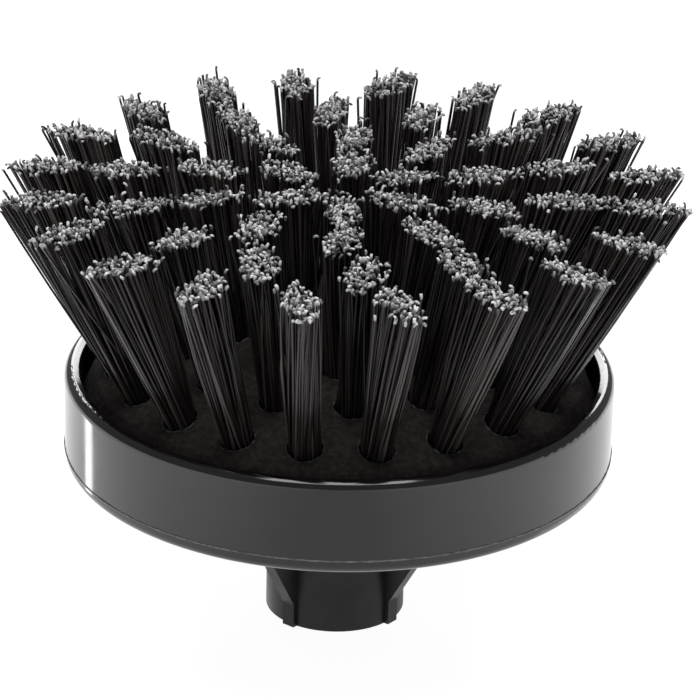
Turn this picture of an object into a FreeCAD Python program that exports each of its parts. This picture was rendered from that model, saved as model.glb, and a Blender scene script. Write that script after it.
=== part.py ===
"""Wheel brush head: a domed, drilled brush block in a glossy rim, on a finned drive hub.

+Z is the axis of rotation and points to the bristle tips. The origin is the centre of
the hub's open end, which the brush stands on. All tuft holes point at one ball centre
on the axis, so the tufts fan out, and one flat cut trims their tips.
"""
import FreeCAD, Part
import math
import os
import Sketcher

DIMENSIONS = {
    # rim shell: the glossy outer wall with its lip, throat and ledge
    "rim_radius": 62.5,
    "wall_inside": 59.0,
    "lip_height": 60.0,
    "lip_inside": 60.3,
    "lip_round": 2.0,
    "throat_radius": 59.0,
    "throat_height": 59.5,
    "throat_round": 0.4,
    "ledge_inside": 54.0,
    "ledge_height": 50.5,
    "ledge_under": 47.5,
    "seam_height": 41.5,
    # brush block: a domed dish, solid enough to hold the tufts
    "ball_depth": 51.0,
    "dome_ball": 123.5,
    "under_ball": 109.5,
    "dome_radius": 55.5,
    "dome_round": 1.5,
    "block_radius": 58.7,
    "flank_foot": 52.5,
    "shoulder_height": 50.7,
    "skirt_radius": 53.6,
    "boss_radius": 4.4,
    "boss_ring": 48.0,
    "boss_foot": 41.6,
    "boss_top": 50.4,
    "boss_pilot": 1.6,
    "boss_pilot_depth": 7.0,
    "boss_turn": -89.2,
    # tufts: hole size, root, flare and the flat trim height
    "hole_radius": 4.0,
    "hole_depth": 11.0,
    "root_radius": 3.75,
    "root_gap": 0.15,
    "root_height": 11.5,
    "tip_radius": 5.9,
    "tuft_length": 52.0,
    "trim_height": 103.8,
    "anchor_gap": 0.8,
    "anchor_height": 2.6,
    "anchor_width": 7.4,
    "anchor_thick": 0.5,
    "anchor_room": 0.1,
    # back cover: the lower shell
    "cover_under": 38.0,
    "cover_edge": 41.3,
    "cover_round": 2.6,
    "spigot_outside": 58.6,
    "spigot_inside": 56.4,
    "spigot_height": 46.5,
    "recess_radius": 36.7,
    "recess_height": 39.0,
    "centre_hole": 10.3,
    "post_radius": 4.5,
    "post_ring": 27.0,
    "post_top": 48.0,
    "post_pilot": 1.8,
    "post_turn": 96.7,
    "screw_hole": 2.1,
    "sink_radius": 3.9,
    "sink_height": 40.2,
    # drive hub: socket tube, flange, locating spigot and gusset fins
    "hub_radius": 16.0,
    "hub_bore": 13.0,
    "hub_bore_depth": 32.4,
    "flange_radius": 36.3,
    "flange_under": 35.2,
    "flange_top": 38.8,
    "hub_spigot": 10.0,
    "hub_spigot_top": 43.0,
    "fin_turn": 51.7,
    "fin_root": 14.8,
    "fin_foot": 17.1,
    "fin_foot_height": 5.8,
    "fin_reach": 35.0,
    "fin_thick": 3.2,
    "key_slot_radius": 14.2,
    "key_slot_width": 3.3,
    # drive bushing and its retaining ring
    "bush_radius": 12.85,
    "bush_bore": 10.5,
    "bush_length": 32.2,
    "key_radius": 14.0,
    "key_width": 3.0,
    "key_start": 1.0,
    "groove_radius": 11.6,
    "groove_start": 27.6,
    "groove_end": 29.0,
    "drive_slot_radius": 11.6,
    "drive_slot_width": 2.8,
    "drive_slot_length": 26.8,
    "ring_wire": 0.55,
    "ring_radius": 10.75,
    "ring_opening": 24.0,
    # screws
    "hub_head_radius": 3.6,
    "hub_head_low": 32.9,
    "hub_head_top": 35.1,
    "hub_shank": 1.7,
    "hub_shank_top": 46.8,
    "cover_head_radius": 3.5,
    "cover_head_low": 38.2,
    "cover_head_top": 40.1,
    "cover_shank": 1.5,
    "cover_shank_top": 48.0,
    "cross_width": 0.9,
    "cross_length": 3.8,
    "cross_depth": 1.1,
}

# ring name: number of tufts, lean of a tuft from the axis, turn of the first tuft
RINGS = {
    "outer": (20, 23.76, -80.2),
    "second": (14, 17.72, -85.5),
    "third": (10, 11.63, -90.5),
    "inner": (6, 5.5, -92.0),
}
COVER_SCREWS = 5
FINS = 4
DRIVE_SLOTS = 3

doc = FreeCAD.newDocument("wheel_brush")
sheet = doc.addObject("Spreadsheet::Sheet", "sheet")


def fill_sheet():
    """Write every driving dimension and ring value to the sheet with its alias."""
    values = dict(DIMENSIONS)
    for ring, (count, lean, turn) in RINGS.items():
        values["count_" + ring] = count
        values["lean_" + ring] = lean
        values["turn_" + ring] = turn
    for row, (alias, value) in enumerate(values.items(), start=1):
        sheet.set("A%d" % row, alias)
        sheet.set("B%d" % row, str(value))
        sheet.setAlias("B%d" % row, alias)
    doc.recompute()


def number(terms):
    """Value of a sum of aliases and numbers, such as 'hub_radius - hub_bore'."""
    total, sign = 0.0, 1.0
    for word in terms.split():
        if word in ("+", "-"):
            sign = 1.0 if word == "+" else -1.0
        else:
            total += sign * (float(word) if word[0].isdigit() else float(sheet.get(word)))
    return total


def formula(terms):
    """The same sum as an expression on the sheet."""
    words = [w if w in ("+", "-") or w[0].isdigit() else "sheet." + w for w in terms.split()]
    return " ".join(words)


def at(across, up):
    """A sketch point whose two coordinates are sums of aliases."""
    return (number(across), formula(across)), (number(up), formula(up))


def on_ball(across, ball):
    """A point held to a ball round the common centre: only its distance across is pinned."""
    radius, offset = number(ball), number(across)
    up = math.sqrt(radius ** 2 - offset ** 2) - number("ball_depth")
    return (offset, formula(across)), (up, None)


def on_tuft(ring, along, outward):
    """A point in a tuft's own plane: along its axis from the ball centre, and outward."""
    lean = math.radians(number("lean_" + ring))
    length, offset = number(along), number(outward)
    across = length * math.sin(lean) + offset * math.cos(lean)
    up = length * math.cos(lean) - offset * math.sin(lean) - number("ball_depth")
    angle = "sheet.lean_" + ring
    words = (formula(along), angle, formula(outward), angle)
    across_text = "(%s) * sin(%s) + (%s) * cos(%s)" % words
    up_text = "(%s) * cos(%s) - (%s) * sin(%s) - sheet.ball_depth" % words
    return (across, across_text), (up, up_text)


def new_body(name):
    body = doc.addObject("PartDesign::Body", name)
    body.Label = name
    return body


def origin_plane(body, role):
    return next(part for part in body.Origin.OriginFeatures if part.Role == role)


def new_sketch(body, name, role="XZ_Plane"):
    sketch = body.newObject("Sketcher::SketchObject", name)
    sketch.AttachmentSupport = [(origin_plane(body, role), "")]
    sketch.MapMode = "FlatFace"
    return sketch


def turn_sketch(sketch, angle):
    """Turn a sketch on the XZ plane about the Z axis by an expression in degrees."""
    turned = FreeCAD.Rotation(FreeCAD.Vector(0, 1, 0), 1)
    sketch.AttachmentOffset = FreeCAD.Placement(FreeCAD.Vector(), turned)
    sketch.setExpression("AttachmentOffset.Rotation.Angle", angle)


def pin_point(sketch, edge, end, point):
    """Hold one end of an edge at a point by its distances from the sketch's origin."""
    for kind, (value, text), axis in (("DistanceX", point[0], -2), ("DistanceY", point[1], -1)):
        if text is None:
            continue
        if abs(value) < 1e-9:
            sketch.addConstraint(Sketcher.Constraint("PointOnObject", edge, end, axis))
        else:
            index = sketch.addConstraint(Sketcher.Constraint(kind, -1, 1, edge, end, value))
            sketch.setExpression("Constraints[%d]" % index, text)


def outline(sketch, points, arcs=()):
    """Draw a closed outline; an arc's entry gives the edge that is round and its centre."""
    arcs = dict(arcs)
    corners = [FreeCAD.Vector(x[0], y[0], 0) for x, y in points]
    for index, start in enumerate(corners):
        end = corners[(index + 1) % len(corners)]
        if index in arcs:
            centre = FreeCAD.Vector(arcs[index][0][0], arcs[index][1][0], 0)
            radius = start.distanceToPoint(centre)
            angles = [math.atan2(p.y - centre.y, p.x - centre.x) for p in (start, end)]
            circle = Part.Circle(centre, FreeCAD.Vector(0, 0, 1), radius)
            sketch.addGeometry(Part.ArcOfCircle(circle, min(angles), max(angles)), False)
            pin_point(sketch, index, 3, arcs[index])
        else:
            sketch.addGeometry(Part.LineSegment(start, end), False)
    for index in range(len(points)):
        following = (index + 1) % len(points)
        this_end, next_start = 2, 1
        if index in arcs and corners[following].x < corners[index].x:
            this_end = 2
        elif index in arcs:
            this_end = 1
        if following in arcs and corners[(following + 1) % len(points)].x > corners[following].x:
            next_start = 2
        link = Sketcher.Constraint("Coincident", index, this_end, following, next_start)
        sketch.addConstraint(link)
    for index, point in enumerate(points):
        start = 1
        if index in arcs and corners[(index + 1) % len(points)].x > corners[index].x:
            start = 2
        pin_point(sketch, index, start, point)


def circle_at(sketch, centre, radius):
    """Draw a circle whose centre and radius follow the sheet."""
    middle = FreeCAD.Vector(centre[0][0], centre[1][0], 0)
    edge = sketch.addGeometry(Part.Circle(middle, FreeCAD.Vector(0, 0, 1), number(radius)), False)
    pin_point(sketch, edge, 3, centre)
    index = sketch.addConstraint(Sketcher.Constraint("Radius", edge, number(radius)))
    sketch.setExpression("Constraints[%d]" % index, formula(radius))


def revolve(body, sketch, name, kind="PartDesign::Revolution", axis="V_Axis"):
    feature = body.newObject(kind, name)
    feature.Profile = sketch
    feature.ReferenceAxis = (sketch, [axis])
    feature.Angle = 360
    sketch.Visibility = False
    return feature


def pad(body, sketch, name, length, start=None, kind="PartDesign::Pad"):
    """Pad or pocket a sketch by a length; start lifts the sketch's plane along its normal."""
    if start is not None:
        sketch.AttachmentOffset = FreeCAD.Placement(FreeCAD.Vector(0, 0, number(start)), FreeCAD.Rotation())
        sketch.setExpression("AttachmentOffset.Base.z", formula(start))
    feature = body.newObject(kind, name)
    feature.Profile = sketch
    feature.Length = number(length)
    feature.setExpression("Length", formula(length))
    return feature


def cut_up(body, sketch, name, length, start):
    """Cut a sketch upward into the body, and prove that it took something away."""
    doc.recompute()
    before = body.Shape.Volume
    feature = pad(body, sketch, name, length, start, "PartDesign::Pocket")
    feature.Reversed = True
    doc.recompute()
    assert body.Shape.Volume < before - 1e-3, name + " cut nothing"
    return feature


def around(body, feature, name, count):
    """Repeat a feature evenly about the Z axis."""
    pattern = body.newObject("PartDesign::PolarPattern", name)
    pattern.Originals = [feature]
    pattern.Axis = (origin_plane(body, "Z_Axis"), [""])
    pattern.Angle = 360
    pattern.Occurrences = count
    body.Tip = pattern
    return pattern


def round_edges(body, base, name, radius, chosen):
    """Fillet the edges of a feature that the chosen test picks."""
    doc.recompute()
    names = ["Edge%d" % (n + 1) for n, edge in enumerate(base.Shape.Edges) if chosen(edge)]
    assert names, name + " found no edge"
    fillet = body.newObject("PartDesign::Fillet", name)
    fillet.Base = (base, names)
    fillet.Radius = number(radius)
    fillet.setExpression("Radius", formula(radius))
    body.Tip = fillet
    return fillet


def is_circle(edge, radius, height):
    """True for a circle of this radius at this height; a dome's pole is an edge with no curve."""
    if edge.Degenerated or not isinstance(edge.Curve, Part.Circle):
        return False
    return abs(edge.Curve.Radius - radius) < 1e-4 and abs(edge.Curve.Center.z - height) < 1e-4


def polar(ring, turn):
    """A sketch point on a ring at a turn about Z, both of them aliases."""
    angle = math.radians(number(turn))
    radius = number(ring)
    x_text = "sheet.%s * cos(sheet.%s)" % (ring, turn)
    y_text = "sheet.%s * sin(sheet.%s)" % (ring, turn)
    return (radius * math.cos(angle), x_text), (radius * math.sin(angle), y_text)


def make_rim_shell():
    body = new_body("rim_shell")
    sketch = new_sketch(body, "rim_profile")
    outline(sketch, [
        at("rim_radius", "seam_height"),
        at("rim_radius", "lip_height"),
        at("lip_inside", "lip_height"),
        at("throat_radius", "throat_height"),
        at("throat_radius", "ledge_height"),
        at("ledge_inside", "ledge_height"),
        at("ledge_inside", "ledge_under"),
        at("wall_inside", "ledge_under"),
        at("wall_inside", "seam_height"),
    ])
    ring = revolve(body, sketch, "rim_ring")
    outer, lip = number("rim_radius"), number("lip_height")
    rounded = round_edges(body, ring, "lip_rounding", "lip_round", lambda e: is_circle(e, outer, lip))
    inner, edge = number("throat_radius"), number("throat_height")
    round_edges(body, rounded, "throat_rounding", "throat_round", lambda e: is_circle(e, inner, edge))
    return body


def make_brush_block():
    body = new_body("brush_block")
    sketch = new_sketch(body, "block_profile")
    ball = at("0", "0 - ball_depth")
    outline(sketch, [
        at("0", "dome_ball - ball_depth"),
        at("0", "under_ball - ball_depth"),
        on_ball("skirt_radius", "under_ball"),
        at("skirt_radius", "shoulder_height"),
        at("block_radius", "shoulder_height"),
        at("block_radius", "flank_foot"),
        on_ball("dome_radius", "dome_ball"),
    ], {1: ball, 6: ball})
    dish = revolve(body, sketch, "block_dish")
    (radius, _), (height, _) = on_ball("dome_radius", "dome_ball")
    round_edges(body, dish, "dome_rounding", "dome_round", lambda e: is_circle(e, radius, height))
    bosses = new_sketch(body, "boss_circle", "XY_Plane")
    circle_at(bosses, polar("boss_ring", "boss_turn"), "boss_radius")
    boss = pad(body, bosses, "boss", "boss_top - boss_foot", "boss_foot")
    around(body, boss, "bosses", COVER_SCREWS)
    pilots = new_sketch(body, "boss_pilot_circle", "XY_Plane")
    circle_at(pilots, polar("boss_ring", "boss_turn"), "boss_pilot")
    pilot = cut_up(body, pilots, "boss_pilot", "boss_pilot_depth", "boss_foot")
    around(body, pilot, "boss_pilots", COVER_SCREWS)
    for ring, (count, _lean, _turn) in RINGS.items():
        drill_ring(body, ring, count)
    return body


def drill_ring(body, ring, count):
    """Groove one slanted tuft hole, then repeat it round the ring."""
    doc.recompute()
    before = body.Shape.Volume
    sketch = new_sketch(body, "hole_profile_" + ring)
    turn_sketch(sketch, "sheet.turn_" + ring)
    bottom, top = "dome_ball - hole_depth", "dome_ball + 3"
    outline(sketch, [
        on_tuft(ring, bottom, "0"),
        on_tuft(ring, bottom, "hole_radius"),
        on_tuft(ring, top, "hole_radius"),
        on_tuft(ring, top, "0"),
    ])
    axis = sketch.addGeometry(Part.LineSegment(*[
        FreeCAD.Vector(p[0][0], p[1][0], 0) for p in (on_tuft(ring, bottom, "0"), on_tuft(ring, top, "0"))
    ]), True)
    sketch.addConstraint(Sketcher.Constraint("Coincident", axis, 1, 0, 1))
    sketch.addConstraint(Sketcher.Constraint("Coincident", axis, 2, 3, 1))
    hole = revolve(body, sketch, "hole_" + ring, "PartDesign::Groove", "Axis0")
    around(body, hole, "holes_" + ring, count)
    doc.recompute()
    drilled = count * math.pi * number("hole_radius") ** 2 * number("hole_depth")
    taken = before - body.Shape.Volume
    assert abs(taken / drilled - 1) < 0.1, "holes_%s took %.0f of %.0f" % (ring, taken, drilled)


def make_back_cover():
    body = new_body("back_cover")
    sketch = new_sketch(body, "cover_profile")
    outline(sketch, [
        at("centre_hole", "recess_height"),
        at("recess_radius", "recess_height"),
        at("recess_radius", "cover_under"),
        at("rim_radius", "cover_under"),
        at("rim_radius", "cover_edge"),
        at("spigot_outside", "cover_edge"),
        at("spigot_outside", "spigot_height"),
        at("spigot_inside", "spigot_height"),
        at("spigot_inside", "cover_edge"),
        at("centre_hole", "cover_edge"),
    ])
    plate = revolve(body, sketch, "cover_plate")
    outer, under = number("rim_radius"), number("cover_under")
    round_edges(body, plate, "cover_rounding", "cover_round", lambda e: is_circle(e, outer, under))
    posts = new_sketch(body, "post_circle", "XY_Plane")
    circle_at(posts, polar("post_ring", "post_turn"), "post_radius")
    post = pad(body, posts, "post", "post_top - recess_height", "recess_height")
    around(body, post, "posts", FINS)
    holes = new_sketch(body, "post_hole_circle", "XY_Plane")
    circle_at(holes, polar("post_ring", "post_turn"), "post_pilot")
    hole = cut_up(body, holes, "post_hole", "post_top - cover_under", "cover_under")
    around(body, hole, "post_holes", FINS)
    ways = new_sketch(body, "screw_way_circle", "XY_Plane")
    circle_at(ways, polar("boss_ring", "boss_turn"), "screw_hole")
    way = cut_up(body, ways, "screw_way", "post_top - cover_under", "cover_under - 1")
    around(body, way, "screw_ways", COVER_SCREWS)
    sinks = new_sketch(body, "head_sink_circle", "XY_Plane")
    circle_at(sinks, polar("boss_ring", "boss_turn"), "sink_radius")
    sink = cut_up(body, sinks, "head_sink", "sink_height - cover_under + 1", "cover_under - 1")
    around(body, sink, "head_sinks", COVER_SCREWS)
    return body


def make_drive_hub():
    body = new_body("drive_hub")
    sketch = new_sketch(body, "hub_profile")
    outline(sketch, [
        at("hub_bore", "0"),
        at("hub_radius", "0"),
        at("hub_radius", "flange_under"),
        at("flange_radius", "flange_under"),
        at("flange_radius", "flange_top"),
        at("hub_spigot", "flange_top"),
        at("hub_spigot", "hub_spigot_top"),
        at("0", "hub_spigot_top"),
        at("0", "hub_bore_depth"),
        at("hub_bore", "hub_bore_depth"),
    ])
    revolve(body, sketch, "hub_turned")
    fins = new_sketch(body, "fin_profile")
    turn_sketch(fins, "sheet.fin_turn")
    outline(fins, [
        at("fin_root", "0"),
        at("fin_foot", "0"),
        at("fin_foot", "fin_foot_height"),
        at("fin_reach", "flange_under + 1"),
        at("fin_root", "flange_under + 1"),
    ])
    fin = pad(body, fins, "fin", "fin_thick")
    fin.Midplane = True
    around(body, fin, "fins", FINS)
    slots = new_sketch(body, "key_slot_profile")
    turn_sketch(slots, "sheet.fin_turn")
    outline(slots, [
        at("hub_bore - 2", "0"),
        at("key_slot_radius", "0"),
        at("key_slot_radius", "hub_bore_depth"),
        at("hub_bore - 2", "hub_bore_depth"),
    ])
    slot = pad(body, slots, "key_slot", "key_slot_width", None, "PartDesign::Pocket")
    slot.Midplane = True
    around(body, slot, "key_slots", FINS)
    holes = new_sketch(body, "flange_hole_circle", "XY_Plane")
    circle_at(holes, polar("post_ring", "post_turn"), "screw_hole")
    hole = cut_up(body, holes, "flange_hole", "flange_top - flange_under + 2", "flange_under - 1")
    around(body, hole, "flange_holes", FINS)
    return body


def make_drive_bush():
    body = new_body("drive_bush")
    sketch = new_sketch(body, "bush_profile")
    outline(sketch, [
        at("bush_bore", "0"),
        at("bush_radius", "0"),
        at("bush_radius", "bush_length"),
        at("bush_bore", "bush_length"),
        at("bush_bore", "groove_end"),
        at("groove_radius", "groove_end"),
        at("groove_radius", "groove_start"),
        at("bush_bore", "groove_start"),
    ])
    revolve(body, sketch, "bush_turned")
    keys = new_sketch(body, "key_profile")
    turn_sketch(keys, "sheet.fin_turn")
    outline(keys, [
        at("bush_radius - 0.5", "key_start"),
        at("key_radius", "key_start"),
        at("key_radius", "bush_length"),
        at("bush_radius - 0.5", "bush_length"),
    ])
    key = pad(body, keys, "key", "key_width")
    key.Midplane = True
    around(body, key, "keys", FINS)
    slots = new_sketch(body, "drive_slot_profile")
    outline(slots, [
        at("bush_bore - 2", "0"),
        at("drive_slot_radius", "0"),
        at("drive_slot_radius", "drive_slot_length"),
        at("bush_bore - 2", "drive_slot_length"),
    ])
    slot = pad(body, slots, "drive_slot", "drive_slot_width", None, "PartDesign::Pocket")
    slot.Midplane = True
    around(body, slot, "drive_slots", DRIVE_SLOTS)
    return body


def make_retaining_ring():
    """Open wire ring, sprung into the bushing's groove."""
    body = new_body("retaining_ring")
    sketch = new_sketch(body, "wire_section")
    circle_at(sketch, at("ring_radius", "groove_start + 0.7"), "ring_wire")
    wire = revolve(body, sketch, "wire_turn")
    wire.Angle = 360 - number("ring_opening")
    wire.setExpression("Angle", "360 - sheet.ring_opening")
    return body


def make_tuft(ring, name):
    """A flared bundle that starts in its hole, folds round its anchor and is trimmed flat."""
    body = new_body(name)
    sketch = new_sketch(body, "bundle_profile_" + ring)
    bottom, tip = "dome_ball - hole_depth + root_gap", "dome_ball + tuft_length"
    collar = "dome_ball - hole_depth + root_height"
    outline(sketch, [
        on_tuft(ring, bottom, "0"),
        on_tuft(ring, bottom, "root_radius"),
        on_tuft(ring, collar, "root_radius"),
        on_tuft(ring, tip, "tip_radius"),
        on_tuft(ring, tip, "0"),
    ])
    axis = sketch.addGeometry(Part.LineSegment(*[
        FreeCAD.Vector(p[0][0], p[1][0], 0) for p in (on_tuft(ring, bottom, "0"), on_tuft(ring, tip, "0"))
    ]), True)
    sketch.addConstraint(Sketcher.Constraint("Coincident", axis, 1, 0, 1))
    sketch.addConstraint(Sketcher.Constraint("Coincident", axis, 2, 4, 1))
    revolve(body, sketch, "bundle_" + ring, axis="Axis0")
    cut_flat(body, "trim_" + ring, [
        at("0 - 20", "trim_height"),
        at("rim_radius + 40", "trim_height"),
        at("rim_radius + 40", "trim_height + 40"),
        at("0 - 20", "trim_height + 40"),
    ])
    low = "dome_ball - hole_depth + anchor_gap - anchor_room"
    high = "dome_ball - hole_depth + anchor_gap + anchor_height + anchor_room"
    side = "anchor_thick - 0.15"
    cut_flat(body, "anchor_slot_" + ring, [
        on_tuft(ring, low, side),
        on_tuft(ring, high, side),
        on_tuft(ring, high, "0 - anchor_thick + 0.15"),
        on_tuft(ring, low, "0 - anchor_thick + 0.15"),
    ])
    return body


def cut_flat(body, name, points):
    """Cut an outline on the XZ plane straight through the body, and prove that it cut."""
    doc.recompute()
    before = body.Shape.Volume
    sketch = new_sketch(body, name + "_profile")
    outline(sketch, points)
    cut = body.newObject("PartDesign::Pocket", name)
    cut.Profile = sketch
    cut.Midplane = True
    cut.Type = 1
    doc.recompute()
    assert body.Shape.Volume < before - 1e-3, name + " cut nothing"


def make_tufts():
    """Every tuft is a body of its own, turned about the Z axis to its step of the ring."""
    tufts = []
    for ring, (count, _lean, _turn) in RINGS.items():
        for step in range(count):
            tuft = make_tuft(ring, "tuft_%s_%02d" % (ring, step + 1))
            turned = FreeCAD.Rotation(FreeCAD.Vector(0, 0, 1), 1)
            tuft.Placement = FreeCAD.Placement(FreeCAD.Vector(), turned)
            angle = "sheet.turn_%s + %d * 360 / sheet.count_%s" % (ring, step, ring)
            tuft.setExpression("Placement.Rotation.Angle", angle)
            tufts.append(tuft)
    return tufts


def group(name, solids):
    """A node of several like fasteners, as separate solids."""
    piece = doc.addObject("Part::Feature", name)
    piece.Label = name
    piece.Shape = Part.makeCompound(solids)
    piece.Placement = FreeCAD.Placement()
    return piece


def make_anchors():
    """Flat wire anchors, one across the root of each tuft."""
    solids = []
    width, thick, tall = number("anchor_width"), number("anchor_thick"), number("anchor_height")
    low = number("dome_ball - hole_depth + anchor_gap")
    centre = FreeCAD.Vector(0, 0, -number("ball_depth"))
    for ring, (count, lean, turn) in RINGS.items():
        for step in range(count):
            plate = Part.makeBox(thick, width, tall, FreeCAD.Vector(-thick / 2, -width / 2, low))
            plate.rotate(FreeCAD.Vector(), FreeCAD.Vector(0, 1, 0), lean)
            plate.rotate(FreeCAD.Vector(), FreeCAD.Vector(0, 0, 1), turn + step * 360 / count)
            plate.translate(centre)
            solids.append(plate)
    return group("tuft_anchors", solids)


def screw(head_radius, head_low, head_top, shank, shank_top):
    """A pan-head screw on the Z axis, head down, with a cross recess in the head."""
    head_tall = head_top - head_low
    head = Part.makeCylinder(head_radius, head_tall, FreeCAD.Vector(0, 0, head_low))
    rim = [e for e in head.Edges if is_circle(e, head_radius, head_low)]
    head = head.makeFillet(head_tall * 0.4, rim)
    rod = Part.makeCylinder(shank, shank_top - head_top + 0.5, FreeCAD.Vector(0, 0, head_top - 0.5))
    point = [e for e in rod.Edges if is_circle(e, shank, shank_top)]
    rod = rod.makeChamfer(shank * 0.5, point)
    long, wide, deep = number("cross_length"), number("cross_width"), number("cross_depth")
    bars = [
        Part.makeBox(x, y, deep + 1, FreeCAD.Vector(-x / 2, -y / 2, head_low - 1))
        for x, y in ((long, wide), (wide, long))
    ]
    return head.fuse(rod).cut(bars[0].fuse(bars[1])).removeSplitter()


def ring_of_screws(name, pattern, count, turn, sizes):
    solids = []
    for step in range(count):
        angle = math.radians(turn + step * 360 / count)
        one = screw(*[number(size) for size in sizes])
        one.translate(FreeCAD.Vector(math.cos(angle), math.sin(angle), 0) * number(pattern))
        solids.append(one)
    return group(name, solids)


def make_screws():
    hub = ("hub_head_radius", "hub_head_low", "hub_head_top", "hub_shank", "hub_shank_top")
    cover = ("cover_head_radius", "cover_head_low", "cover_head_top", "cover_shank", "cover_shank_top")
    return [
        ring_of_screws("hub_screws", "post_ring", FINS, number("post_turn"), hub),
        ring_of_screws("cover_screws", "boss_ring", COVER_SCREWS, number("boss_turn"), cover),
    ]


def check_document():
    """Stop if any object failed to build."""
    doc.recompute()
    for item in doc.Objects:
        bad = [state for state in item.State if state in ("Invalid", "Error")]
        assert not bad, "%s is %s" % (item.Label, bad)


def export(pieces):
    os.makedirs("parts", exist_ok=True)
    for piece in pieces:
        shape = piece.Shape
        assert not shape.isNull() and shape.isValid() and shape.Solids, piece.Label
    for piece in pieces:
        piece.Shape.exportStep(os.path.join("parts", piece.Label + ".step"))
        print("%s: %d solid(s), %.0f mm3" % (piece.Label, len(piece.Shape.Solids), piece.Shape.Volume))


fill_sheet()
pieces = [
    make_rim_shell(),
    make_brush_block(),
    make_back_cover(),
    make_drive_hub(),
    make_drive_bush(),
    make_retaining_ring(),
    make_anchors(),
]
pieces += make_screws()
pieces += make_tufts()
check_document()
export(pieces)
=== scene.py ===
import math

import bpy
import numpy as np
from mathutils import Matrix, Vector


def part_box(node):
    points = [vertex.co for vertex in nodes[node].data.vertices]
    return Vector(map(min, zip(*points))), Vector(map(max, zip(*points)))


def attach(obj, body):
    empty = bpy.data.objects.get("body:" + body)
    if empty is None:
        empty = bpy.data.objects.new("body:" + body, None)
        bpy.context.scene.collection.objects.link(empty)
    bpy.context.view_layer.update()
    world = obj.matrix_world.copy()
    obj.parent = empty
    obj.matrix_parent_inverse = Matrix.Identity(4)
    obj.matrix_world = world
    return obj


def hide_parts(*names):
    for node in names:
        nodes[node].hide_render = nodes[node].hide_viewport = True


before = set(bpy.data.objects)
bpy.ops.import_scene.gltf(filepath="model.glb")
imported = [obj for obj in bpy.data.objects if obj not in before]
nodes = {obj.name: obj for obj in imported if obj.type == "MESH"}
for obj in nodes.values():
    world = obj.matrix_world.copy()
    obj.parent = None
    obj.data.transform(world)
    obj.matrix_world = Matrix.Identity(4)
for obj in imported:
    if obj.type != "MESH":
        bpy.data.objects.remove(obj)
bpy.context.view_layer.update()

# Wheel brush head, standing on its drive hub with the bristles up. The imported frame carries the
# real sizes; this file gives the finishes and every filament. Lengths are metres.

mm = 0.001

# --- Drive hub -------------------------------------------------------------------------------
# One moulding of black glass-filled polypropylene: socket tube, flange and four gusset fins.
# It comes out of a tool with a fine spark texture, so it is satin, not glossy.


def new_plastic(name, colour, roughness):
    """A new material's Principled shader with its plain colour and gloss set."""
    material = bpy.data.materials.new(name)
    material.use_nodes = True
    shader = material.node_tree.nodes["Principled BSDF"]
    shader.inputs["Base Color"].default_value = (*colour, 1.0)
    shader.inputs["Roughness"].default_value = roughness
    return material, shader


def add_node(material, kind, **settings):
    """Add one shader node and set its inputs and properties by name."""
    node = material.node_tree.nodes.new(kind)
    for key, value in settings.items():
        name = key.replace("_", " ").title()
        if name in node.inputs:
            node.inputs[name].default_value = value
        else:
            setattr(node, key, value)
    return node


def join_nodes(material, start, output, end, socket):
    material.node_tree.links.new(start.outputs[output], end.inputs[socket])


def object_noise(material, scale, detail=4.0, roughness=0.55):
    """Noise on the piece's own coordinates, scale in lumps per metre."""
    place = add_node(material, "ShaderNodeTexCoord")
    noise = add_node(material, "ShaderNodeTexNoise", scale=scale, detail=detail, roughness=roughness)
    join_nodes(material, place, "Object", noise, "Vector")
    return noise


def ramp_between(material, source, low, high, first, last):
    """Colour ramp from first to last as the source goes from low to high."""
    ramp = add_node(material, "ShaderNodeValToRGB")
    ramp.color_ramp.elements[0].position = low
    ramp.color_ramp.elements[0].color = (*first, 1.0)
    ramp.color_ramp.elements[1].position = high
    ramp.color_ramp.elements[1].color = (*last, 1.0)
    join_nodes(material, source, 0, ramp, "Fac")
    return ramp


def add_bump(material, shader, source, distance, strength=1.0):
    """Bump from a source, distance in metres; bumps added later sit on earlier ones."""
    bump = add_node(material, "ShaderNodeBump", strength=strength, distance=distance)
    join_nodes(material, source, 0, bump, "Height")
    old = shader.inputs["Normal"].links
    if old:
        material.node_tree.links.new(old[0].from_socket, bump.inputs["Normal"])
    join_nodes(material, bump, "Normal", shader, "Normal")
    return bump


def grey(level):
    return (level, level, level)


def warm_black(level):
    """Carbon black in these plastics leans a little to brown."""
    return (level * 1.15, level * 0.93, level * 0.9)


def hub_plastic():
    material, shader = new_plastic("hub_satin_black", warm_black(0.006), 0.36)
    shader.inputs["Specular IOR Level"].default_value = 0.28
    mottle = object_noise(material, 260.0)
    colour = ramp_between(material, mottle, 0.35, 0.7, warm_black(0.004), warm_black(0.010))
    join_nodes(material, colour, "Color", shader, "Base Color")
    sheen = ramp_between(material, object_noise(material, 90.0), 0.3, 0.7, grey(0.3), grey(0.46))
    join_nodes(material, sheen, "Color", shader, "Roughness")
    add_bump(material, shader, object_noise(material, 3500.0, 2.0), 0.00003, 0.5)
    return material


def dress(node, material):
    """Put one material on a CAD node."""
    piece = nodes[node]
    piece.data.materials.clear()
    piece.data.materials.append(material)
    return piece


dress("drive_hub", hub_plastic())

# --- Drive bushing ---------------------------------------------------------------------------
# Turned steel socket, bright zinc plate, keyed into the hub. The lathe leaves fine rings
# round its bore and across its end face.


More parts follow.
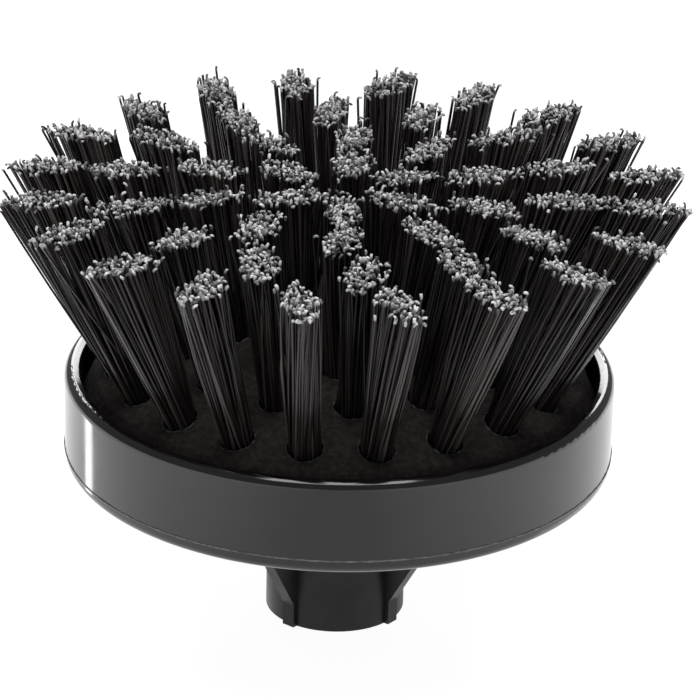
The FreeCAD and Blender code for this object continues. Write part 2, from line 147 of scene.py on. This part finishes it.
def turned_steel(name, colour, rings_per_metre):
    material, shader = new_plastic(name, colour, 0.3)
    shader.inputs["Metallic"].default_value = 1.0
    place = add_node(material, "ShaderNodeTexCoord")
    wave = add_node(material, "ShaderNodeTexWave", scale=rings_per_metre, distortion=0.6)
    wave.wave_type = "RINGS"
    wave.rings_direction = "Z"
    join_nodes(material, place, "Object", wave, "Vector")
    add_bump(material, shader, wave, 0.00001, 0.35)
    stain = object_noise(material, 420.0)
    shade = ramp_between(material, stain, 0.3, 0.75, [c * 0.7 for c in colour], colour)
    join_nodes(material, shade, "Color", shader, "Base Color")
    gloss = ramp_between(material, stain, 0.35, 0.7, grey(0.24), grey(0.42))
    join_nodes(material, gloss, "Color", shader, "Roughness")
    return material


dress("drive_bush", turned_steel("bush_zinc_plate", (0.5, 0.5, 0.52), 900.0))

# --- Retaining ring --------------------------------------------------------------------------
# Open ring of oiled spring wire, sprung into the bushing's groove.
dress("retaining_ring", turned_steel("ring_oiled_wire", (0.2, 0.2, 0.21), 300.0))

# --- Back cover ------------------------------------------------------------------------------
# Lower shell in glossy black plastic. Its rounded edge closes the rim from below, and the
# hub's flange sits in its shallow recess.


def gloss_plastic(name, level):
    """Polished black moulding: faint sink and flow in the gloss, a few hair scratches."""
    material, shader = new_plastic(name, warm_black(level), 0.08)
    deep, pale = warm_black(level * 0.7), warm_black(level * 1.4)
    tint = ramp_between(material, object_noise(material, 45.0), 0.3, 0.7, deep, pale)
    join_nodes(material, tint, "Color", shader, "Base Color")
    gloss = ramp_between(material, object_noise(material, 70.0, 6.0), 0.3, 0.75, grey(0.08), grey(0.16))
    join_nodes(material, gloss, "Color", shader, "Roughness")
    add_bump(material, shader, object_noise(material, 60.0, 2.0), 0.0002, 0.12)
    add_bump(material, shader, object_noise(material, 1800.0, 3.0), 0.00001, 0.35)
    return material


dress("back_cover", gloss_plastic("cover_gloss_black", 0.0042))

# --- Screws ----------------------------------------------------------------------------------
# Zinc-plated pan-head screws: four hold the hub's flange, five clamp the cover to the block.
screw_steel = turned_steel("screw_zinc_plate", (0.55, 0.54, 0.52), 1500.0)
dress("hub_screws", screw_steel)
dress("cover_screws", screw_steel)

# --- Rim shell -------------------------------------------------------------------------------
# The glossy outer wall with its rounded lip, clamped between the block and the cover.
rim_plastic = gloss_plastic("rim_gloss_black", 0.0042)
dress("rim_shell", rim_plastic)

# --- Seam flash ------------------------------------------------------------------------------
# A hair of black flash squeezed out where the rim meets the cover, uneven all the way round.
# It is part of the rim's moulding, bright where its thin edge catches the light. Its grey tint is partly
# stress-whitened plastic and partly painted highlight for that bright line.
seam_width = 0.24 * mm
seam_steps = 240
rim_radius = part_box("rim_shell")[1][0]
seam_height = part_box("rim_shell")[0][2]
bpy.ops.object.select_all(action="DESELECT")
bpy.ops.mesh.primitive_torus_add(
    major_radius=rim_radius,
    minor_radius=seam_width,
    major_segments=seam_steps,
    minor_segments=6,
    location=(0, 0, seam_height),
)
seam_flash = bpy.context.object
seam_flash.name = "seam_flash"
bpy.ops.object.transform_apply(location=True, rotation=True, scale=True)
seam_random = np.random.default_rng(61)
seam_swell = seam_random.uniform(0.6, 1.1, seam_steps)
for point in seam_flash.data.vertices:
    turn = math.atan2(point.co.y, point.co.x) / (2 * math.pi)
    swell = seam_swell[round(turn * seam_steps) % seam_steps]
    core = Vector((point.co.x, point.co.y, 0)).normalized() * rim_radius
    core.z = seam_height
    point.co = core + (point.co - core) * swell
seam_flash.data.shade_smooth()
# Grey tint: partly stress-whitened flash, partly painted highlight for the light seam line.
flash_plastic, flash_shader = new_plastic("seam_flash_plastic", grey(0.06), 0.4)
flash_whitening_and_highlight = ramp_between(
    flash_plastic, object_noise(flash_plastic, 900.0), 0.3, 0.7, grey(0.03), grey(0.14)
)
join_nodes(flash_plastic, flash_whitening_and_highlight, "Color", flash_shader, "Base Color")
seam_flash.data.materials.append(flash_plastic)
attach(seam_flash, "root")

# --- Brush block -----------------------------------------------------------------------------
# Matt black polypropylene, domed and drilled. Drilling leaves it rough and a little furry.


def drilled_plastic():
    material, shader = new_plastic("block_matt_black", warm_black(0.004), 0.9)
    shader.inputs["Specular IOR Level"].default_value = 0.12
    mottle = object_noise(material, 700.0, 6.0, 0.7)
    colour = ramp_between(material, mottle, 0.4, 0.72, warm_black(0.010), warm_black(0.030))
    join_nodes(material, colour, "Color", shader, "Base Color")
    add_bump(material, shader, object_noise(material, 520.0, 5.0, 0.65), 0.0006, 0.8)
    add_bump(material, shader, object_noise(material, 2600.0, 3.0), 0.0001, 0.6)
    return material


dress("brush_block", drilled_plastic())

# --- Drill burrs -----------------------------------------------------------------------------
# The drill lifts a ragged curl of plastic round the mouth of every tuft hole. All the holes
# point at one ball centre on the axis, so each burr lies square to its own hole.
ball_depth = 51.0 * mm
dome_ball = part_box("brush_block")[1][2] + ball_depth
rings = {
    "outer": (20, 23.76, -80.2),
    "second": (14, 17.72, -85.5),
    "third": (10, 11.63, -90.5),
    "inner": (6, 5.5, -92.0),
}
burr_radius = 4.1 * mm
burr_thick = 0.22 * mm
burr_steps = 36
burr_raggedness = 0.14 * mm


def tuft_axis(lean_degrees, turn_degrees):
    """Direction of a tuft hole from the ball centre."""
    lean, turn = math.radians(lean_degrees), math.radians(turn_degrees)
    return Vector((math.sin(lean) * math.cos(turn), math.sin(lean) * math.sin(turn), math.cos(lean)))


burr_plastic, burr_shader = new_plastic("burr_bruised_black", warm_black(0.03), 0.5)
burr_tint = ramp_between(
    burr_plastic, object_noise(burr_plastic, 1100.0), 0.45, 0.75, warm_black(0.004), grey(0.09)
)
join_nodes(burr_plastic, burr_tint, "Color", burr_shader, "Base Color")

bpy.ops.object.select_all(action="DESELECT")
bpy.ops.mesh.primitive_torus_add(
    major_radius=burr_radius, minor_radius=burr_thick, major_segments=burr_steps, minor_segments=4
)
burr_pattern = bpy.context.object
burr_pattern.name = "burr_pattern"
burr_random = np.random.default_rng(77)
for ring_name, (hole_count, lean_degrees, first_turn) in rings.items():
    for step in range(hole_count):
        burr = burr_pattern.copy()
        burr.data = burr_pattern.data.copy()
        burr.name = "burr_%s_%02d" % (ring_name, step + 1)
        bpy.context.scene.collection.objects.link(burr)
        swell = burr_random.uniform(0.0, 1.0, burr_steps) ** 2 * 1.5 + 0.08
        ragged = burr_random.normal(0, burr_raggedness, burr_steps)
        axis = tuft_axis(lean_degrees, first_turn + 360 * step / hole_count)
        mouth = axis * dome_ball - Vector((0, 0, ball_depth))
        turned = axis.to_track_quat("Z", "Y")
        for point in burr.data.vertices:
            share = math.atan2(point.co.y, point.co.x) / (2 * math.pi)
            part = round(share * burr_steps) % burr_steps
            curl = swell[part]
            core = Vector((point.co.x, point.co.y, 0)).normalized() * (burr_radius + ragged[part])
            point.co = mouth + turned @ (core + (point.co - core) * curl)
        burr.data.shade_smooth()
        burr.data.materials.append(burr_plastic)
        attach(burr, "root")
bpy.data.objects.remove(burr_pattern)

# --- Drill crumbs ----------------------------------------------------------------------------
# Loose crumbs of drilled plastic, caught in the rough deck near the hole mouths.
crumbs_per_hole = 16
crumb_size = 0.16 * mm
crumb_scatter = 0.8 * mm
bpy.ops.object.select_all(action="DESELECT")
bpy.ops.mesh.primitive_ico_sphere_add(subdivisions=1, radius=1.0)
crumb = bpy.context.object
bpy.ops.object.mode_set(mode="EDIT")
bpy.ops.mesh.select_all(action="SELECT")
bpy.ops.transform.vertex_random(offset=0.5, seed=9)
bpy.ops.object.mode_set(mode="OBJECT")
crumb_points = np.array([v.co[:] for v in crumb.data.vertices])
crumb_faces = [list(f.vertices) for f in crumb.data.polygons]
bpy.data.objects.remove(crumb)

crumb_random = np.random.default_rng(88)
crumb_places = []
for ring_name, (hole_count, lean_degrees, first_turn) in rings.items():
    for step in range(hole_count):
        axis = np.array(tuft_axis(lean_degrees, first_turn + 360 * step / hole_count))
        sideways = np.cross([0.0, 0.0, 1.0], axis)
        sideways = sideways / np.linalg.norm(sideways)
        around_hole = crumb_random.uniform(0, 2 * math.pi, crumbs_per_hole)
        away = burr_radius + np.abs(crumb_random.normal(0, crumb_scatter, crumbs_per_hole))
        offset = np.outer(np.cos(around_hole), sideways)
        offset = offset + np.outer(np.sin(around_hole), np.cross(sideways, axis))
        spot = axis * dome_ball + offset * away[:, None]
        spot = spot * (dome_ball / np.linalg.norm(spot, axis=1, keepdims=True))
        crumb_places.append(spot - np.array([0, 0, ball_depth]))
crumb_places = np.concatenate(crumb_places)
crumb_scale = crumb_random.uniform(0.35, 1.0, (len(crumb_places), 1, 3)) * crumb_size
flakes = crumb_places[:, None] + crumb_points[None] * crumb_scale
crumb_mesh = bpy.data.meshes.new("drill_crumbs")
size = len(crumb_points)
flake_faces = [[i + n * size for i in face] for n in range(len(flakes)) for face in crumb_faces]
crumb_mesh.from_pydata(flakes.reshape(-1, 3), [], flake_faces)
crumb_mesh.materials.append(burr_plastic)
crumbs = bpy.data.objects.new("drill_crumbs", crumb_mesh)
bpy.context.scene.collection.objects.link(crumbs)
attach(crumbs, "root")

# --- Tuft anchors ----------------------------------------------------------------------------
# Flat galvanised wire plates, driven across the fold of each tuft at the bottom of its hole.
dress("tuft_anchors", turned_steel("anchor_galvanised", (0.45, 0.45, 0.44), 400.0))

# --- Filament --------------------------------------------------------------------------------
# One stiff polypropylene filament, 0.6 mm thick, extruded black. It is modelled straight, with
# its rings of points one unit apart: each is a station that the tufts space along a strand.
filament_sides = 5
filament_radius = 0.3 * mm
station_count = 10
bpy.ops.object.select_all(action="DESELECT")
bpy.ops.mesh.primitive_cylinder_add(
    vertices=filament_sides, radius=1.0, depth=station_count - 1, location=(0, 0, (station_count - 1) / 2)
)
filament = bpy.context.object
filament.name = "filament_pattern"
bpy.ops.object.mode_set(mode="EDIT")
for station in range(1, station_count - 1):
    bpy.ops.mesh.select_all(action="SELECT")
    bpy.ops.mesh.bisect(plane_co=(0, 0, station), plane_no=(0, 0, 1))
bpy.ops.mesh.select_all(action="DESELECT")
bpy.ops.object.mode_set(mode="OBJECT")
bpy.ops.object.transform_apply(location=True, rotation=True, scale=True)
filament_points = np.array([v.co[:] for v in filament.data.vertices])
filament_faces = [list(f.vertices) for f in filament.data.polygons]
filament_stations = np.rint(filament_points[:, 2]).astype(int)
bpy.data.objects.remove(filament)

# --- Bristle plastic -------------------------------------------------------------------------
# Near black along the strand, with a soft gloss. The last millimetre is pale grey, partly bruised where
# the trimming knife and use have crushed and frayed the end, and partly painted highlight for the light
# that the tips catch.


def bristle_plastic():
    material, shader = new_plastic("bristle_black_filament", warm_black(0.006), 0.2)
    shader.inputs["Specular IOR Level"].default_value = 0.3
    strand = add_node(material, "ShaderNodeUVMap", uv_map="strand")
    split = add_node(material, "ShaderNodeSeparateXYZ")
    join_nodes(material, strand, "UV", split, "Vector")
    wander = add_node(material, "ShaderNodeMath", operation="MULTIPLY_ADD")
    join_nodes(material, object_noise(material, 1500.0, 3.0), 0, wander, 0)
    wander.inputs[1].default_value = 1.1
    join_nodes(material, split, "Y", wander, 2)
    reach = add_node(material, "ShaderNodeMath", operation="MULTIPLY")
    join_nodes(material, wander, 0, reach, 0)
    reach.inputs[1].default_value = 0.45
    # Tip mask: pale grey over the last millimetre or so, partly crushed-end wear and partly painted
    # highlight; it also dulls the gloss there.
    tip_wear_and_highlight_mask = ramp_between(material, reach, 0.55, 0.85, grey(1.0), grey(0.0))
    tip_wear_and_painted_highlight = ramp_between(material, split, 0.1, 0.95, grey(0.08), grey(0.66))
    # Strand by strand the body is painted paler, up to five times, as painted highlight for the bright
    # streaks that single strands catch.
    body = ramp_between(material, split, 0.5, 1.0, warm_black(0.009), warm_black(0.045))
    shade = add_node(material, "ShaderNodeMix", data_type="RGBA")
    join_nodes(material, tip_wear_and_highlight_mask, "Color", shade, 0)
    join_nodes(material, body, "Color", shade, 6)
    join_nodes(material, tip_wear_and_painted_highlight, "Color", shade, 7)
    material.node_tree.links.new(shade.outputs[2], shader.inputs["Base Color"])
    dull = ramp_between(material, tip_wear_and_highlight_mask, 0.0, 1.0, grey(0.2), grey(0.75))
    join_nodes(material, dull, "Color", shader, "Roughness")
    return material


bristle = bristle_plastic()

# --- Tufts -----------------------------------------------------------------------------------
# A tuft is a bundle folded over its flat anchor in one slanted hole. It is tight in the hole,
# its two legs spread outward and inward from the mouth, and one flat cut trims the tips.
trim_height = 103.9 * mm
strands_per_tuft = 140
root_pack = 3.5 * mm
root_depth = 9.5 * mm
leg_spread = 8.6 * mm
side_spread = 3.6 * mm
widest_tip = 77.2 * mm
lean_to_right = 0.8 * mm
hook_length = 1.05 * mm
hook_bend = math.radians(185)
golden_turn = math.radians(137.508)
root_jitter = 0.05 * mm
tip_jitter = 0.6 * mm
tip_crowding = 1.12
crossed_share = 0.08
stray_share = 0.08
tuft_twist = math.radians(14)
widest_twist = 0.42
tuft_offset = 0.5 * mm
cut_noise = 0.42 * mm
cut_limit = 1.2 * mm
tall_share = 0.05
tall_extra = 1.3 * mm
bow_noise = 0.5 * mm


def unit(vectors):
    return vectors / np.linalg.norm(vectors, axis=-1, keepdims=True)


def strand_ends(rng, count):
    """Place of every strand at the mouth and at the tips, outward and sideways in its tuft."""
    share = np.sqrt((np.arange(count) + 0.5) / count)
    angle = np.arange(count) * golden_turn + rng.uniform(0, 2 * math.pi)
    disc = share[:, None] * np.stack([np.cos(angle), np.sin(angle)], 1)
    roots = disc * root_pack + rng.normal(0, root_jitter, (count, 2))
    spread = np.array([leg_spread, side_spread]) * rng.uniform(0.88, 1.14, 2)
    tips = np.sign(disc) * np.abs(disc) ** tip_crowding * spread + rng.normal(0, tip_jitter, (count, 2))
    crossed = np.flatnonzero(rng.random(count) < crossed_share)
    tips[crossed] = tips[rng.permutation(crossed)]
    stray = rng.random(count) < stray_share
    tips[stray] *= rng.uniform(1.15, 1.6, (stray.sum(), 1))
    twist = np.clip(rng.normal(0, tuft_twist), -widest_twist, widest_twist)
    turned = np.array([[math.cos(twist), math.sin(twist)], [-math.sin(twist), math.cos(twist)]])
    return roots, tips @ turned + rng.normal(0, tuft_offset, 2)


def strand_lines(rng, mouth, axes, length):
    """Centre line and cross-section directions of every strand at every station."""
    outward, sideways, along = axes
    count = strands_per_tuft
    roots, tips = strand_ends(rng, count)
    plane = np.stack([outward, sideways])
    start = mouth + roots @ plane
    aim = mouth + tips @ plane + along * length + np.array([lean_to_right, 0, 0])
    reach = unit(aim - start)
    height = trim_height + rng.normal(0, cut_noise, count).clip(-cut_limit, cut_limit)
    height[rng.random(count) < tall_share] += tall_extra
    total = (height - start[:, 2]) / reach[:, 2]
    end = start + total[:, None] * reach
    wide = np.linalg.norm(end[:, :2], axis=1)
    end[:, :2] *= np.minimum(1.0, widest_tip / wide)[:, None]
    reach = unit(end - start)
    total = np.linalg.norm(end - start, axis=1)
    hook = hook_length * rng.uniform(0.5, 1.6, count)
    straight = total - hook
    stations = np.zeros((count, station_count))
    stations[:, 1:6] = np.array([0.0, 0.28, 0.56, 0.82, 1.0]) * straight[:, None]
    stations[:, 6:] = straight[:, None] + hook[:, None] * np.array([0.3, 0.56, 0.8, 1.0])
    bend = rng.uniform(0.2, 1.0, count) * hook_bend
    side = rng.normal(size=(count, 3))
    side = unit(side - (side * reach).sum(1, keepdims=True) * reach)
    middle = (stations[:, 1:] + stations[:, :-1]) / 2
    turned = np.clip((middle - straight[:, None]) / hook[:, None], 0, 1) * bend[:, None]
    heading = np.cos(turned)[:, :, None] * reach[:, None] + np.sin(turned)[:, :, None] * side[:, None]
    steps = np.diff(stations, axis=1)[:, :, None] * heading
    line = np.concatenate([start[:, None], start[:, None] + np.cumsum(steps, axis=1)], axis=1)
    arch = np.sin(math.pi * stations / total[:, None])[:, :, None]
    bow = arch * rng.normal(0, bow_noise, (count, 1, 1))
    bow_side = unit(np.cross(reach, rng.normal(size=(count, 3))))
    line = line + bow * bow_side[:, None]
    line[:, 0] = start - along * root_depth
    at_station = np.clip((stations - straight[:, None]) / hook[:, None], 0, 1) * bend[:, None]
    across = np.cos(at_station)[:, :, None] * side[:, None]
    across = across - np.sin(at_station)[:, :, None] * reach[:, None]
    binormal = np.broadcast_to(np.cross(reach, side)[:, None], across.shape)
    from_tip = total[:, None] - stations
    from_tip[:, 0] += root_depth
    return line, across, binormal, from_tip


def strand_girths(rng, count):
    """Half thickness and half width at each station: round, then crushed flat at the end."""
    crush = rng.uniform(0.0, 0.5, (count, 1)) * np.array([0, 0, 0, 0, 0, 0.1, 0.45, 0.9, 1.0, 0.5])
    size = rng.uniform(0.92, 1.06, (count, 1)) * filament_radius
    return size * (1 - 0.3 * crush), size * (1 + crush)


def make_tuft(name, axis, seed):
    """Build every strand of one tuft as one mesh, with a UV map that runs along the strands."""
    rng = np.random.default_rng(seed)
    along = np.array(axis)
    sideways = unit(np.cross([0.0, 0.0, 1.0], along))
    outward = np.cross(sideways, along)
    mouth = along * dome_ball - np.array([0, 0, ball_depth])
    length = (trim_height - mouth[2]) / along[2]
    line, across, binormal, from_tip = strand_lines(rng, mouth, (outward, sideways, along), length)
    count = len(line)
    thick, wide = strand_girths(rng, count)
    ring = filament_stations
    flat_x, flat_y = filament_points[:, :1], filament_points[:, 1:2]
    points = line[:, ring] + thick[:, ring, None] * flat_x * across[:, ring]
    points = points + wide[:, ring, None] * flat_y * binormal[:, ring]
    size = len(filament_points)
    faces = [[i + strand * size for i in face] for strand in range(count) for face in filament_faces]
    mesh = bpy.data.meshes.new(name)
    mesh.from_pydata(points.reshape(-1, 3), [], faces)
    mesh.shade_smooth()
    uv = mesh.uv_layers.new(name="strand")
    loops = np.empty(len(mesh.loops), dtype=np.int32)
    mesh.loops.foreach_get("vertex_index", loops)
    tone = np.repeat(rng.random(count), size)
    distance = (from_tip[:, ring] / mm).reshape(-1)
    uv.data.foreach_set("uv", np.stack([tone[loops], distance[loops]], 1).astype(np.float32).ravel())
    mesh.materials.append(bristle)
    piece = bpy.data.objects.new(name, mesh)
    bpy.context.scene.collection.objects.link(piece)
    return piece


seed = 500
for ring_name, (tuft_count, lean_degrees, first_turn) in rings.items():
    for step in range(tuft_count):
        seed += 1
        label = "%s_%02d" % (ring_name, step + 1)
        axis = tuft_axis(lean_degrees, first_turn + 360 * step / tuft_count)
        tuft = make_tuft("bristles_" + label, axis, seed)
        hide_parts("tuft_" + label)
        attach(tuft, "root")

# --- Studio ----------------------------------------------------------------------------------
# A plain white floor that glows as a lit table does, more so at its sides. Soft boxes hang
# overhead, behind and back left, and one small strip lamp stands close to the left wall.
bpy.ops.object.select_all(action="DESELECT")
bpy.ops.mesh.primitive_plane_add(size=12.0, location=(0, 0, 0))
floor = bpy.context.object
floor.name = "studio_floor"
floor_paint, floor_shader = new_plastic("floor_white", grey(0.12), 0.8)
floor_shader.inputs["Specular IOR Level"].default_value = 0.0
floor_shader.inputs["Emission Strength"].default_value = 1.6
floor_place = add_node(floor_paint, "ShaderNodeTexCoord")
floor_split = add_node(floor_paint, "ShaderNodeSeparateXYZ")
join_nodes(floor_paint, floor_place, "Object", floor_split, "Vector")
floor_side = add_node(floor_paint, "ShaderNodeMath", operation="ABSOLUTE")
join_nodes(floor_paint, floor_split, "X", floor_side, 0)
floor_glow = ramp_between(floor_paint, floor_side, 0.03, 0.15, grey(0.6), grey(1.0))
join_nodes(floor_paint, floor_glow, "Color", floor_shader, "Emission Color")
floor.data.materials.append(floor_paint)

world = bpy.data.worlds.new("studio_world")
world.use_nodes = True
world.node_tree.nodes["Background"].inputs["Color"].default_value = (1.0, 1.0, 1.0, 1.0)
world.node_tree.nodes["Background"].inputs["Strength"].default_value = 0.32
bpy.context.scene.world = world


def soft_box(name, place, target, width, tall, power):
    """Area light turned to face its target."""
    light = bpy.data.lights.new(name, "AREA")
    light.shape = "RECTANGLE"
    light.size = width
    light.size_y = tall
    light.energy = power
    holder = bpy.data.objects.new(name, light)
    holder.location = place
    holder.rotation_euler = (Vector(target) - Vector(place)).to_track_quat("-Z", "Y").to_euler()
    bpy.context.scene.collection.objects.link(holder)
    return holder


soft_box("overhead_soft", (0.0, -0.12, 0.48), (0.0, -0.12, 0.1), 0.35, 0.25, 1.8)
soft_box("back_soft", (0.0, 1.5, 0.65), (0.0, 0.0, 0.06), 0.9, 0.5, 9.2)
soft_box("left_soft", (-0.38, 0.86, 0.8), (0.0, 0.0, 0.06), 0.2, 0.2, 1.5)
wall_strip = soft_box("wall_strip", (-0.1197, 0.0207, 0.015), (-0.056, -0.0277, 0.015), 0.011, 0.03, 0.006)
wall_strip.visible_camera = False

# --- Camera ----------------------------------------------------------------------------------
# Long lens, a little above the rim, with the brush's axis leaning slightly to the right.
lip_height = 60.0 * mm
camera_distance = 875.0 * mm
camera_rise = math.radians(23.87)
camera_roll = math.radians(1.24)
camera_data = bpy.data.cameras.new("camera")
camera_data.lens = 198.0
camera_data.sensor_width = 36.0
camera_data.shift_x = 0.0147
camera_data.shift_y = 0.0211
camera_data.clip_end = 50.0
camera = bpy.data.objects.new("camera", camera_data)
camera.location = (
    0.0,
    -camera_distance * math.cos(camera_rise),
    lip_height + camera_distance * math.sin(camera_rise),
)
camera.rotation_mode = "XYZ"
camera.rotation_euler = (math.pi / 2 - camera_rise, 0.0, 0.0)
camera.rotation_euler.rotate_axis("Z", camera_roll)
bpy.context.scene.collection.objects.link(camera)
bpy.context.scene.camera = camera
bpy.context.scene.view_settings.view_transform = "Standard"
